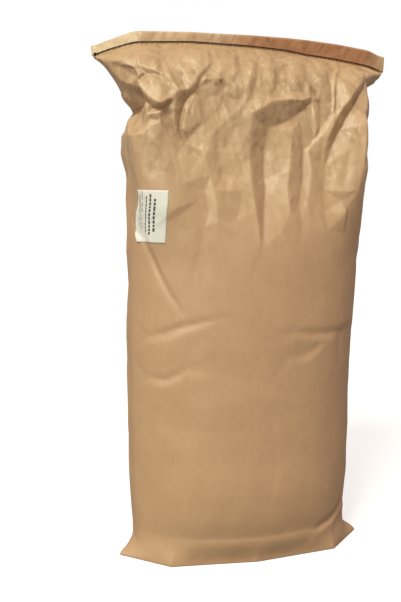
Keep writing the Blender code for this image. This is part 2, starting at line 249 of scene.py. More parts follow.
# %% [markdown]
# A place on the wall is given as a share of the girth, counted from the left side fold over
# the front, and a height. The section is a box with quarter circles for corners, walked by
# arc length, so that the paper is never stretched sideways.

# %% The plain wall
def rounded_box(share, half_width, half_depth, corner):
    radius = half_depth * corner
    side = half_depth - radius
    arc = radius * math.pi / 2
    quarter = side + arc + half_width - radius
    back = share > 0.5
    along = np.where(back, 1.0 - share, share) * 4
    right = along > 1.0
    walk = np.where(right, 2.0 - along, along) * quarter
    angle = np.clip((walk - side) / np.maximum(radius, 1e-9), 0.0, math.pi / 2)
    past = np.maximum(walk - side - arc, 0.0)
    x = -half_width + radius * (1 - np.cos(angle)) + past
    y = -(np.minimum(walk, side) + radius * np.sin(angle))
    return np.where(right, -x, x), np.where(back, -y, y)


def base_outline(share):
    """The pasted bottom: two long bulging edges, and an ear at each side."""
    back = share > 0.5
    along = np.where(back, 1.0 - share, share) * 2
    edge = HEM_HALF_DEPTH * 4 / GIRTH
    u = np.clip((along - edge) / (1 - 2 * edge), 0.0, 1.0)
    knots = [0.0, BASE_CORNER, 0.5, 1 - BASE_CORNER, 1.0]
    x = np.interp(u, knots, [-EAR_REACH, -BASE_HALF_WIDTH, 0.0, BASE_HALF_WIDTH, EAR_REACH])
    middle = BASE_HALF_DEPTH + BASE_BULGE
    y = np.interp(u, knots, [HEM_HALF_DEPTH, BASE_HALF_DEPTH, middle, BASE_HALF_DEPTH, HEM_HALF_DEPTH])
    ahead = np.interp(u, knots, [EAR_FORWARD, 0.0, 0.0, 0.0, EAR_FORWARD])
    return x, np.where(back, y, -y) - ahead


def plain_wall(share, height):
    """The wall before its folds. Heights over the seam run up the hem, which is flat."""
    level = np.minimum(height, SEAM_HEIGHT)
    half_depth = np.maximum(section_curve(1, level), HEM_HALF_DEPTH)
    left = section_curve(2, level)
    right = section_curve(3, level)
    crown = smooth((height - CROWN_START) / (SEAM_HEIGHT - CROWN_START))
    boxy = smooth((height - BOX_START) / (BOX_END - BOX_START))
    corner = BODY_CORNER + (CROWN_CORNER - BODY_CORNER) * boxy * (1 - crown)
    x, y = rounded_box(share, (right - left) / 2, half_depth, np.where(height >= SEAM_HEIGHT, 0.0, corner))
    dome = half_depth * (1 - (2 * x / (right - left)) ** 2)
    roundness = BODY_ROUNDNESS * (1 - boxy)
    y = y * (1 - roundness) + np.where(share > 0.5, dome, -dome) * roundness
    x = x + (left + right) / 2
    base_x, base_y = base_outline(share)
    x = base_x + (x - base_x) * smooth(height / EAR_HEIGHT)
    y = base_y + (y - base_y) * smooth(height / BASE_FORM_HEIGHT)
    y = y + crown * mouth_curve(1, x)
    climb = np.clip((height - CROWN_START) / (SEAM_HEIGHT - CROWN_START), 0.0, 1.0)
    hem_start = mouth_curve(2, x) - HEM_BELOW_SEAM
    z = height + climb * (hem_start - SEAM_HEIGHT)
    hem = np.maximum(height - SEAM_HEIGHT, 0.0)
    z = np.where(height > SEAM_HEIGHT, hem_start + hem * (mouth_curve(3, x) - hem_start), z)
    y = y - hem_lean(x, z)
    return np.stack([x, y, z], -1)


def outward(share, height):
    """The level direction that points out of the wall."""
    step = 0.004
    along = plain_wall((share + step) % 1.0, height) - plain_wall((share - step) % 1.0, height)
    normal = np.stack([along[:, 1], -along[:, 0], np.zeros(len(along))], -1)
    return normal / np.maximum(np.linalg.norm(normal, axis=1), 1e-9)[:, None]


widest = plain_wall(np.linspace(0, 1, 400), np.full(400, 0.5))
print("width and depth at half height:", np.ptp(widest[:, 0]).round(3), np.ptp(widest[:, 1]).round(3))

# %% [markdown]
# Creases are lines where the paper bends sharply, and between them it stays flat. So the
# folds are drawn as a net: lines of points with an outward shift, joined by triangles that
# never cross a line. Each shift is read off a flat triangle, which is what makes facets
# look like paper. Lines a few millimetres apart make a sharp crease, and lines further
# apart a broad one.

# %% Lines of the creases
# Across and height in millimetres, and outward shift in units of DEPTH, on the front
FRONT_CREASES = [
    # The roof's edge over the hollow, and the ridge under it down the left of the tooth
    [(-21, 776, 3), (-12, 762, 9), (8, 773, 11), (26, 783, 12), (53, 787, 12), (79, 786, 9),
     (94, 791, 6), (112, 790, 2)],
    [(-12, 762, 9), (-13, 737, 9), (-14, 701, 9), (-14, 653, 8), (-9, 602, 5), (-4, 548, 1)],
    # The hollow's floor and the valley left of the tooth
    [(21, 739, -11), (40, 745, -11), (58, 752, -11), (75, 763, -10), (88, 774, -8), (98, 779, -4)],
    [(21, 739, -11), (15, 703, -13), (13, 637, -13), (3, 574, -5), (-2, 546, 0)],
    # The tooth's right ridge and the valley beyond it
    [(31, 739, -10), (52, 745, -8), (61, 735, 1), (60, 712, 5), (56, 679, 7), (49, 637, 7),
     (51, 600, 4), (31, 566, 2), (2, 544, 0)],
    [(77, 751, -10), (83, 730, -9), (85, 703, -10), (80, 655, -10), (72, 620, -6), (60, 598, 0)],
    [(93, 703, -4), (96, 663, -3), (87, 620, -2), (72, 584, 0)],
    # The narrow pleat under the tape at the right
    [(154, 857, -1), (145, 832, -2), (139, 802, -3), (134, 771, -4)],
    [(165, 857, 4), (148, 828, 5), (142, 800, 4), (138, 771, 1)],
    [(174, 856, -2), (155, 828, -2), (148, 800, -3), (143, 773, -3)],
    # Thin ridges that run down to one point
    [(137, 765, 0), (127, 747, 0), (115, 727, -1), (99, 709, -4)],
    [(133, 762, -6), (123, 745, -6), (109, 727, -7), (96, 713, -8)],
    [(98, 785, 3), (104, 758, -1), (108, 742, -3), (103, 720, -5)],
    [(95, 778, -6), (98, 758, -6), (102, 742, -7)],
    [(115, 782, -5), (115, 758, -7), (116, 741, -8)],
    # The long fold at the right: its edge, its valley and the light panel beside it
    [(208, 838, 3), (197, 822, 6), (175, 799, 8), (153, 774, 7), (143, 759, 5), (130, 731, 2),
     (121, 701, -4)],
    [(213, 826, -2), (204, 811, -6), (187, 789, -11), (168, 764, -14), (152, 738, -14),
     (137, 711, -13), (124, 677, -11), (118, 637, -8), (117, 600, -4), (120, 568, 0)],
    [(213, 812, 4), (205, 795, 8), (197, 775, 12), (191, 750, 17), (190, 714, 19), (184, 677, 18),
     (176, 637, 14), (152, 600, 9), (120, 568, 0)],
    [(141, 635, 1), (149, 620, -1), (157, 604, 3)],
    [(166, 705, 3), (176, 712, 5), (184, 717, 13)],
    # The lapel at the left and the fold that it overhangs
    [(-165, 824, 3), (-148, 816, 5), (-137, 803, 8), (-136, 795, 11), (-150, 782, 15), (-162, 773, 18),
     (-175, 782, 18), (-185, 794, 16), (-191, 804, 12), (-196, 816, 7)],
    [(-186, 779, -3), (-176, 767, -6), (-156, 767, -4)],
    [(-174, 760, 2), (-164, 761, 3)],
    [(-178, 750, -5), (-167, 749, -4)],
    # The creases over it
    [(-230, 846, 2), (-212, 844, 3), (-194, 837, 3), (-177, 830, 3), (-164, 827, 3)],
    [(-218, 839, -2), (-202, 832, -4), (-184, 822, -7), (-168, 821, -3)],
    # The right side of the wedge, and soft folds under it
    [(-181, 772, 4), (-184, 756, -1), (-191, 741, -4)],
    [(-179, 741, 2), (-182, 714, 2), (-177, 685, 0)],
    # The ridge, the valley and the three-cornered dent right of them
    [(-93, 828, 3), (-108, 808, 5), (-117, 799, 7), (-136, 795, 11)],
    [(-86, 825, -3), (-98, 804, -8), (-107, 791, -10), (-122, 776, -11), (-127, 757, -10),
     (-131, 735, -6)],
    [(-141, 780, 9), (-141, 763, 8), (-141, 748, 6), (-136, 733, 2)],
    [(-157, 771, 0), (-152, 754, -5), (-146, 744, -4), (-152, 735, -2)],
    [(-167, 754, 2), (-164, 746, 3), (-156, 733, 3), (-146, 716, 3), (-138, 689, 1)],
    [(-143, 735, -4), (-122, 712, -6), (-100, 689, -2)],
    [(-110, 787, -1), (-122, 761, 1), (-126, 735, 2)],
    # Short creases of the roof
    [(-120, 851, 0), (-120, 823, 4), (-117, 804, 6)],
    [(-132, 846, -1), (-129, 823, -2), (-124, 808, 0)],
    [(-91, 816, 3), (-73, 816, 3), (-53, 817, 3)],
    [(-86, 810, -3), (-68, 806, -5), (-52, 804, -5)],
    [(-45, 831, 3), (-43, 808, 3), (-42, 794, -2)],
    [(-30, 859, 2), (-37, 831, 3)],
    [(-20, 859, -3), (-25, 831, -3)],
    [(-65, 849, 3), (-59, 834, 4), (-50, 829, 2)],
    [(1, 856, 2), (-10, 827, 3), (-20, 799, 2)],
    [(13, 854, -2), (2, 820, -3), (-7, 797, -2)],
    [(38, 842, 3), (29, 817, 3), (17, 794, 4)],
    [(46, 837, -2), (41, 812, -3), (26, 794, 2)],
    [(83, 854, 2), (75, 823, 2), (64, 799, 3)],
    [(100, 848, -2), (93, 822, -2), (84, 800, 0)],
    [(120, 840, 2), (116, 814, 2), (114, 797, -1)],
    # The light slope left of the hollow, and broad soft folds of the upper body
    [(-88, 786, -9), (-68, 790, -10), (-47, 787, -8), (-31, 783, -3)],
    [(-91, 748, 0), (-94, 701, 7), (-83, 661, 3)],
    [(-68, 742, -3), (-66, 700, 4), (-63, 655, -2)],
    [(-37, 745, 3), (-34, 698, 9), (-31, 637, 3)],
    [(-135, 647, 3), (-129, 612, 4), (-111, 574, 2)],
    [(-92, 637, -2), (-87, 602, -3), (-96, 576, -1)],
    [(-78, 637, 3), (-76, 612, 4), (-74, 588, 2)],
    [(-34, 612, -1), (-43, 588, -1)],
    [(86, 578, 1), (65, 537, 2), (84, 495, 1)],
    # Low creases of the body
    [(-195, 598, -2), (-186, 556, -5), (-165, 501, -5), (-145, 459, -4), (-126, 430, 0)],
    [(-199, 590, 0), (-191, 553, 0), (-170, 499, 0), (-150, 457, 0)],
    [(-188, 594, 0), (-178, 553, 1), (-157, 499, 1), (-137, 457, 0)],
    [(-178, 404, 1), (-160, 411, 1), (-131, 424, 1), (-98, 432, 1), (-60, 440, 0)],
    [(-179, 398, -2), (-160, 404, -4), (-131, 418, -4), (-98, 426, -3), (-62, 434, -1)],
    [(-178, 387, 2), (-152, 391, 3), (-130, 405, 2), (-98, 416, 1)],
    [(-180, 327, -2), (-159, 325, -4), (-126, 347, -2)],
    [(-179, 317, 1), (-158, 315, 3), (-132, 332, 1)],
    [(-178, 333, 0), (-157, 332, 1), (-129, 354, 0)],
    [(49, 404, -1), (96, 398, -4), (150, 396, -4), (186, 402, -2)],
    [(52, 411, 1), (96, 406, 2), (150, 404, 2), (184, 411, 1)],
    [(56, 392, 1), (99, 387, 2), (128, 386, 3)],
    [(47, 360, -1), (77, 362, -4), (97, 374, -3), (112, 381, 0)],
    [(50, 352, 1), (80, 354, 2), (102, 366, 1)],
    [(-107, 279, 1), (-9, 297, 2), (84, 277, 1)],
    [(-137, 208, 1), (-122, 141, 2), (-125, 69, 1)],
    [(10, 257, -1), (21, 188, -2), (11, 111, -1)],
    [(98, 44, 0), (125, 52, -4), (150, 62, -6), (178, 85, -3)],
    [(112, 60, 1), (145, 71, 1), (172, 94, 1)],
    [(112, 38, 2), (148, 50, 4), (174, 68, 3)],
]
# The same on the back, which leans into broader folds
BACK_CREASES = [
    [(-170, 812, -3), (-140, 770, -12), (-112, 720, -13), (-95, 640, -4), (-90, 590, 0)],
    [(-120, 822, 3), (-80, 780, 9), (-55, 730, 11), (-50, 660, 6), (-55, 600, 0)],
    [(-40, 828, -2), (-8, 795, -10), (15, 745, -14), (15, 670, -9), (0, 590, 0)],
    [(30, 822, 4), (60, 780, 10), (72, 730, 12), (70, 650, 6), (55, 585, 0)],
    [(110, 818, -4), (118, 770, -12), (122, 710, -12), (115, 640, -5), (100, 600, 0)],
    [(200, 812, 2), (175, 770, 12), (170, 710, 13), (160, 640, 6), (140, 590, 0)],
    [(-195, 800, 8), (-180, 760, 10), (-170, 700, 6)],
    [(-150, 360, -1), (-50, 382, -3), (80, 352, -1)],
    [(20, 480, -1), (90, 500, -3), (150, 470, -1)],
]
# Round the two sides: girth from the left side fold (negative behind it), height on the
# wall and outward shift, all in millimetres
LEFT_CREASES = [
    # The notch, the ledge under it and the flap over it
    [(-105, 765, -4), (-75, 766, -18), (-35, 766, -22), (0, 767, -24), (30, 770, -26), (50, 780, -26),
     (62, 795, -12), (69, 808, -4)],
    [(-105, 733, 0), (-65, 730, 2), (-15, 728, 4), (38, 726, 6), (60, 725, 6), (78, 727, 4)],
    [(66, 760, -3), (60, 745, -8), (55, 736, -9)],
    [(-90, 800, -2), (-45, 800, -4), (0, 800, -4), (30, 803, -3), (50, 805, -1)],
    [(34, 840, -3), (53, 825, -5), (63, 812, -8)],
    [(42, 845, 2), (59, 832, 4), (73, 818, 5)],
    [(21, 832, 1), (24, 815, 1)],
    # Dents of the left side
    [(23, 712, 4), (4, 685, -1), (47, 667, 3), (31, 653, -2)],
    [(-40, 700, 3), (-50, 660, -3), (-45, 610, 2)],
    [(-20, 540, 2), (-35, 470, -3), (-20, 400, 1)],
    [(10, 330, -2), (-10, 250, 2), (5, 160, -1)],
]
RIGHT_CREASES = [
    [(510, 815, 1), (530, 800, 2), (545, 770, 1), (550, 720, 2), (545, 660, 1)],
    [(560, 835, -1), (575, 810, -3), (580, 760, -6), (580, 690, -4), (570, 640, 0)],
    [(590, 820, 2), (600, 770, 5), (600, 710, 4), (590, 640, 0)],
    [(520, 560, 1), (545, 500, -3), (540, 420, 2)],
    [(560, 330, 1), (545, 250, -3), (555, 160, 1)],
    [(572, 610, 1), (596, 560, -3), (584, 480, 1)],
    [(566, 450, -1), (590, 400, 2), (604, 340, 0)],
    # The crumpled corner at the end of the mouth, and the straight fold under it
    [(550, 862, 1), (551, 850, 6), (550, 838, 13), (548, 827, 7), (546, 812, 5), (545, 795, 2),
     (546, 760, 1), (548, 700, 0), (548, 640, -1)],
    [(505, 852, 1), (520, 846, -3), (535, 842, 5), (550, 838, 13), (568, 842, 5)],
    [(512, 861, 3), (526, 856, 5), (540, 850, 2)],
    [(522, 836, -4), (536, 830, -2)],
]


def level_of(x, z):
    """The wall's own height for a place in the crown, which follows the mouth's slant."""
    slant = (mouth_curve(2, np.array([x]))[0] - HEM_BELOW_SEAM - SEAM_HEIGHT) / (SEAM_HEIGHT - CROWN_START)
    return (z + CROWN_START * slant) / (1 + slant) if z > CROWN_START else z


def net_place(side, x, z):
    """Girth position and height of a crease's point."""
    level = level_of(x, z)
    shares = np.linspace(0.0, 0.5, 401)
    across = plain_wall(shares, np.full(401, level))[:, 0]
    share = float(np.interp(x, across, shares))
    return (share if side == "front" else 1.0 - share) * GIRTH, level


PER_METRE = 1000  # the lists are in millimetres
DEPTH = {"front": 0.0007, "back": 0.0011}  # metres for each unit of the drawn shifts
crease_lines = []
for side, creases in (("front", FRONT_CREASES), ("back", BACK_CREASES)):
    for crease in creases:
        crease_lines.append([
            (*net_place(side, x / PER_METRE, z / PER_METRE), shift * DEPTH[side])
            for x, z, shift in crease
        ])
for crease in LEFT_CREASES + RIGHT_CREASES:
    crease_lines.append([tuple(length / PER_METRE for length in point) for point in crease])
print("crease lines:", len(crease_lines))

# %% [markdown]
# A net is triangulated with Blender's constrained Delaunay function, which keeps every
# crease as an edge. The paper is a ring, so each point is also given one girth to the left
# and one to the right. The triangles are then drawn on a fine map of the unrolled paper,
# because a map can be blurred and added to others, and read at any place at once.

# %% Nets of facets
def facet_net(lines, loose, stretch=1.0, shear=0.0):
    """Points with shifts, and triangles that keep the lines as edges.

    Stretch makes the facets longer up the wall, and shear leans them.
    """
    places = []
    shifts = []
    edges = []
    for offset in (-GIRTH, 0.0, GIRTH):
        for line in lines:
            first = len(places)
            places += [Vector((g + offset - shear * h, h / stretch)) for g, h, _ in line]
            shifts += [shift for *_, shift in line]
            edges += [(first + i, first + i + 1) for i in range(len(line) - 1)]
        places += [Vector((g + offset - shear * h, h / stretch)) for g, h, _ in loose]
        shifts += [shift for *_, shift in loose]
    points, _, faces, origins, _, _ = delaunay_2d_cdt(places, edges, [], 0, 1e-6)
    points = np.array(points)
    made = np.zeros(len(points))
    for index, origin in enumerate(origins):
        if origin:
            made[index] = shifts[origin[0]]
        else:
            reach = [(place - Vector(points[index])).length for place in places]
            nearest = np.argsort(reach)[:3]
            made[index] = np.mean([shifts[i] for i in nearest])
    points[:, 1] *= stretch
    points[:, 0] += shear * points[:, 1]
    return points, made, faces


MAP_STEP = 0.00125
MAP_COLUMNS = round(GIRTH / MAP_STEP)
MAP_ROWS = round((SEAM_HEIGHT + 0.02) / MAP_STEP)


def net_map(net):
    """The net's shifts on a fine lattice of the unrolled paper, flat inside each triangle."""
    points, shifts, faces = net
    field = np.zeros((MAP_ROWS, MAP_COLUMNS))
    for face in faces:
        corners = points[list(face)] / MAP_STEP
        low = np.maximum(np.ceil(corners.min(axis=0)), 0).astype(int)
        high = np.minimum(np.floor(corners.max(axis=0)), (MAP_COLUMNS - 1, MAP_ROWS - 1)).astype(int)
        (ax, ay), (bx, by), (cx, cy) = corners
        area = (bx - ax) * (cy - ay) - (cx - ax) * (by - ay)
        if (high < low).any() or abs(area) < 1e-9:
            continue
        px = np.arange(low[0], high[0] + 1)[None, :] - ax
        py = np.arange(low[1], high[1] + 1)[:, None] - ay
        second = (px * (cy - ay) - (cx - ax) * py) / area
        third = ((bx - ax) * py - px * (by - ay)) / area
        inside = (second >= -1e-6) & (third >= -1e-6) & (second + third <= 1 + 1e-6)
        first, middle, last = shifts[list(face)]
        value = first + (middle - first) * second + (last - first) * third
        patch = field[low[1]:high[1] + 1, low[0]:high[0] + 1]
        patch[inside] = value[inside]
    return field


def blur(field, times):
    """Rounds the creases a little: each pass mixes a point with its neighbours."""
    for _ in range(times):
        padded = np.pad(field, ((1, 1), (0, 0)), mode="edge")
        field = (padded[:-2] + 2 * field + padded[2:]) / 4
        field = (np.roll(field, 1, 1) + 2 * field + np.roll(field, -1, 1)) / 4
    return field


def read_map(field, share, height):
    """A map's value at any place, mixed from its four nearest points."""
    column = (share % 1.0) * MAP_COLUMNS
    row = np.clip(height / MAP_STEP, 0, MAP_ROWS - 1.001)
    left = np.floor(column).astype(int)
    low = np.floor(row).astype(int)
    across = column - left
    up = row - low
    left = left % MAP_COLUMNS
    right = (left + 1) % MAP_COLUMNS
    under = field[low, left] * (1 - across) + field[low, right] * across
    over = field[low + 1, left] * (1 - across) + field[low + 1, right] * across
    return under * (1 - up) + over * up


# %% [markdown]
# Between the drawn creases the paper has dents of all sizes. Three more nets of seeded
# random points are added to the drawn one, each finer or longer up the wall. The dents grow
# from the full body, where the paper is tight, to the loose crown. They fade along the two
# sides, where they would make the outline ragged.

# %% Random dents
JITTER = 0.42  # how far a point moves, as a share of the spacing


def loose_points(spacing, amount, seed, clear=0.0, stretch=1.0):
    """A jittered lattice of dents, clear of the drawn lines."""
    noise = np.random.default_rng(seed)
    taken = np.array([(g % GIRTH, h) for line in crease_lines for g, h, _ in line])
    made = []
    for g in np.arange(spacing / 2, GIRTH, spacing):
        for h in np.arange(0.0, SEAM_HEIGHT + spacing * stretch, spacing * stretch):
            jump = noise.uniform(-JITTER, JITTER, 2) * spacing
            spot = np.array([g + jump[0], h + jump[1] * stretch])
            shift = noise.uniform(-1, 1) * amount(spot[1])
            if clear and np.min(np.linalg.norm(taken - spot, axis=1)) < clear:
                continue
            made.append((spot[0] % GIRTH, spot[1], shift))
    # A flat rim under the base and over the seam closes the net
    made += [(g, h, 0.0) for g in np.arange(0, GIRTH, 0.05) for h in (-0.02, SEAM_HEIGHT + 0.06)]
    return made


def liveliness(calm, lively, start=0.50, end=0.68):
    """Dents grow from the body to the crown, and fade at the base and at the seam."""
    def amount(height):
        crown = smooth((height - start) / (end - start))
        fade = smooth(height / 0.06) * smooth((SEAM_HEIGHT + 0.01 - height) / 0.02)
        return (calm + (lively - calm) * crown) * fade
    return amount


# Spacing, dents of the body and of the crown, heights between which they grow, seed,
# stretch and shear
LOOSE_NETS = [
    (0.030, 0.0005, 0.0026, 0.50, 0.68, 11, 1.6, 0.10),
    (0.012, 0.00014, 0.0010, 0.50, 0.68, 23, 1.5, -0.15),
    (0.016, 0.0, 0.0028, 0.72, 0.80, 31, 2.4, -0.35),
]
drawn_net = facet_net(crease_lines, loose_points(0.062, liveliness(0.0010, 0.0020), 3, clear=0.022))
loose_nets = []
for spacing, body, crown, start, end, seed, stretch, shear in LOOSE_NETS:
    dents = loose_points(spacing, liveliness(body, crown, start, end), seed, stretch=stretch)
    loose_nets.append(facet_net([], dents, stretch, shear))
print("triangles in the nets:", [len(net[2]) for net in [drawn_net] + loose_nets])

# %% The map of all folds
CALM_SIDES = (0.0, 0.53, 1.07, GIRTH)  # girths near which the random dents fade
CALM_REACH = 0.045
CALM_SHARE = 0.7
FADE_AT_BASE = 0.02
FADE_AT_SEAM = 0.006
CREASE_ROUNDING = 1  # passes of the blur on the map, about a millimetre each
WEAR_REACH = 30  # passes: a worn ridge stands out from the paper so far round it

map_heights = np.arange(MAP_ROWS)[:, None] * MAP_STEP
map_girths = np.arange(MAP_COLUMNS)[None, :] * MAP_STEP
edge_fade = smooth(map_heights / FADE_AT_BASE) * smooth((SEAM_HEIGHT - map_heights) / FADE_AT_SEAM)
near_sides = sum(np.exp(-(((map_girths - side) / CALM_REACH) ** 2)) for side in CALM_SIDES)
side_fade = 1 - CALM_SHARE * near_sides
rough_map = (net_map(drawn_net) + sum(net_map(net) for net in loose_nets) * side_fade) * edge_fade
shift_map = blur(rough_map, CREASE_ROUNDING)
ridge_map = shift_map - blur(shift_map, WEAR_REACH)
print("shift from %.1f to %.1f mm" % (shift_map.min() * 1000, shift_map.max() * 1000))


def fold_shift(share, height):
    return read_map(shift_map, share, height)

# %% [markdown]
# The skin is one grid: Blender makes it flat, and then each point is moved to its place on
# the wall. Columns are closer on the front and rows closer in the crown, where the creases
# are. The grid's last column lands on its first, and remove_doubles sews them together.
# How far a point stands out is kept as an attribute, for the wear of the paint on the ridges and the
# painted shade in the valleys.

# %% The skin
FRONT_SHARE = 0.62  # of the columns
SKIN_COLUMNS = 560
SKIN_ROWS = 340
BASE_ROWS = 5
ROW_STATIONS = [0.0, 0.05, 0.50, 0.60, SEAM_HEIGHT]  # heights
ROW_SHARES = [0.0, 0.07, 0.30, 0.40, 1.0]  # how many of the wall's rows lie below each
HEM_ROWS = 4


def skin_levels(v):
    """Height for each row share: the base rows are below 0 and the hem rows above the seam."""
    rows = v * SKIN_ROWS
    wall_rows = SKIN_ROWS - BASE_ROWS - HEM_ROWS
    wall = (rows - BASE_ROWS) / wall_rows
    height = np.interp(wall, ROW_SHARES, ROW_STATIONS)
    below = rows / BASE_ROWS - 1.0
    above = SEAM_HEIGHT + (rows - BASE_ROWS - wall_rows) / HEM_ROWS
    return np.where(wall < 0, below, np.where(wall > 1, above, height))


def new_piece(name, bm, paint):
    """Turns a bmesh into a painted piece that stands with the sack."""
    mesh = bpy.data.meshes.new(name)
    bm.to_mesh(mesh)
    bm.free()
    for polygon in mesh.polygons:
        polygon.use_smooth = True
    piece = bpy.data.objects.new(name, mesh)
    bpy.context.scene.collection.objects.link(piece)
    mesh.materials.append(paint)
    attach(piece, ROOT)
    return piece


bm = bmesh.new()
bmesh.ops.create_grid(bm, x_segments=SKIN_COLUMNS, y_segments=SKIN_ROWS, size=0.5)
flat = np.array([vertex.co[:2] for vertex in bm.verts]) + 0.5
order = np.lexsort((np.round(flat[:, 0], 6), np.round(flat[:, 1], 6)))
grid_shape = (SKIN_ROWS + 1, SKIN_COLUMNS + 1)
u = flat[order, 0].reshape(grid_shape)
v = flat[order, 1].reshape(grid_shape)
share = np.interp(u, [0.0, FRONT_SHARE, 1.0], [0.0, 0.5, 1.0])
height = skin_levels(v)
level = np.clip(height, 0.0, None)
shift = fold_shift(share.ravel(), level.ravel()).reshape(grid_shape)
ridge = read_map(ridge_map, share.ravel(), level.ravel()).reshape(grid_shape)
places = plain_wall(share.ravel(), level.ravel())
places += outward(share.ravel(), level.ravel()) * shift.ravel()[:, None]
places = places.reshape(*grid_shape, 3)
places[:, -1] = places[:, 0]
inward = np.clip(height + 1.0, 0.0, 1.0)
base = height <= 0
places[..., 2] = np.where(base, BASE_LIFT, places[..., 2])
places[..., :2] *= np.where(base, inward, 1.0)[..., None]

bm.verts.ensure_lookup_table()
flat_uv = bm.loops.layers.uv.new("flat_paper")
ridge_height = bm.verts.layers.float.new("ridge")
for spot, index in enumerate(order):
    row, column = divmod(spot, SKIN_COLUMNS + 1)
    bm.verts[index][ridge_height] = ridge[row, column] * 1000
    bm.verts[index].co = places[row, column]
spots = np.empty(len(order), int)
spots[order] = np.arange(len(order))
flat_place = np.stack([share.ravel() * GIRTH, np.clip(height, -0.2, 1.0).ravel()], -1)
for face in bm.faces:
    for loop in face.loops:
        loop[flat_uv].uv = flat_place[spots[loop.vert.index]]
bmesh.ops.remove_doubles(bm, verts=bm.verts, dist=1e-6)
bmesh.ops.recalc_face_normals(bm, faces=bm.faces)
print("skin faces:", len(bm.faces))

# %% [markdown]
# Kraft paper is unbleached wood fibre: a warm brown with long faint fibres, cloudy patches
# and a slight shine from the rollers. Creases too small for the mesh come from two patterns
# of cells: one raises soft folds between its cells, and the other turns each cell's normal
# its own way. The effects are node groups, so that the tape and the label use them as well.

# %% Paper node groups
FLOAT = "NodeSocketFloat"
VECTOR = "NodeSocketVector"
CRUMPLED_ABOVE = 0.80  # height where the small creases reach their full strength


def group(name, inputs, outputs):
    """An empty node group with its number inputs and its outputs."""
    made = bpy.data.node_groups.new(name, "ShaderNodeTree")
    for socket, value in inputs.items():
        made.interface.new_socket(socket, in_out="INPUT", socket_type=FLOAT).default_value = value
    for socket, kind in outputs.items():
        made.interface.new_socket(socket, in_out="OUTPUT", socket_type=kind)
    entry = made.nodes.new("NodeGroupInput").outputs
    leave = made.nodes.new("NodeGroupOutput").inputs
    return made, entry, leave


def node(tree, kind, inputs, **settings):
    """A node whose inputs are fixed values or other nodes' outputs."""
    made = tree.nodes.new(kind)
    for name, value in settings.items():
        setattr(made, name, value)
    for socket, value in inputs.items():
        if isinstance(value, bpy.types.NodeSocket):
            tree.links.new(value, made.inputs[socket])
        else:
            made.inputs[socket].default_value = value
    return made


def maths(tree, operation, *values):
    return node(tree, "ShaderNodeMath", dict(enumerate(values)), operation=operation).outputs[0]


def vectors(tree, operation, *values):
    return node(tree, "ShaderNodeVectorMath", dict(enumerate(values)), operation=operation).outputs[0]


def scaled(tree, vector, scale):
    return node(tree, "ShaderNodeVectorMath", {0: vector, "Scale": scale}, operation="SCALE").outputs[0]


def object_place(tree):
    return node(tree, "ShaderNodeTexCoord", {}).outputs["Object"]


def along_axis(tree, axis, start, end, low=0.0, **settings):
    """Rises from low to 1 between two places on one axis."""
    parts = node(tree, "ShaderNodeSeparateXYZ", {0: object_place(tree)})
    spread = {"Value": parts.outputs[axis], "From Min": start, "From Max": end, "To Min": low}
    return node(tree, "ShaderNodeMapRange", spread, **settings).outputs[0]


def warped(tree, scale, detail, reach):
    """The object's places, pushed about by a noise so that cells get uneven edges."""
    place = object_place(tree)
    warp = node(tree, "ShaderNodeTexNoise", {"Vector": place, "Scale": scale, "Detail": detail})
    return vectors(tree, "MULTIPLY_ADD", warp.outputs["Color"], (reach, reach, reach), place)


def build_fibres():
    """Clouds and fibres: a colour factor round 1 and a height for the bump."""
    tree, entry, leave = group(
        "paper_fibres", {"Scale": 1.0, "Contrast": 0.12}, {"Factor": FLOAT, "Height": FLOAT}
    )
    place = scaled(tree, object_place(tree), entry["Scale"])
    upright = node(tree, "ShaderNodeMapping", {"Vector": place, "Scale": (1.0, 1.0, 0.16)}).outputs[0]
    looks = (
        {"Vector": place, "Scale": 16.0, "Detail": 4.0, "Roughness": 0.6},
        {"Vector": upright, "Scale": 520.0, "Detail": 3.0, "Roughness": 0.65},
        {"Vector": place, "Scale": 900.0, "Detail": 1.0},
    )
    clouds, fibres, specks = [node(tree, "ShaderNodeTexNoise", look).outputs["Fac"] for look in looks]
    centred = maths(tree, "SUBTRACT", maths(tree, "MULTIPLY_ADD", clouds, 0.55, fibres), 0.775)
    contrast = maths(tree, "MULTIPLY", centred, entry["Contrast"])
    tree.links.new(maths(tree, "ADD", contrast, 1.0), leave["Factor"])
    tree.links.new(maths(tree, "MULTIPLY_ADD", specks, 0.5, fibres), leave["Height"])
    return tree


def build_wrinkles():
    """Fine creases too small for the mesh: soft folds between warped cells."""
    tree, entry, leave = group("paper_wrinkles", {"Scale": 30.0, "Start": 0.62}, {"Height": FLOAT})
    pattern = {"Vector": warped(tree, 9.0, 2.0, 0.06), "Scale": entry["Scale"]}
    cells = node(tree, "ShaderNodeTexVoronoi", pattern, feature="DISTANCE_TO_EDGE")
    spread = {"Value": cells.outputs["Distance"], "From Max": 0.22}
    rounded = node(tree, "ShaderNodeMapRange", spread).outputs[0]
    rise = along_axis(tree, "Z", entry["Start"], CRUMPLED_ABOVE, 0.12)
    tree.links.new(maths(tree, "MULTIPLY", rounded, rise), leave["Height"])
    return tree


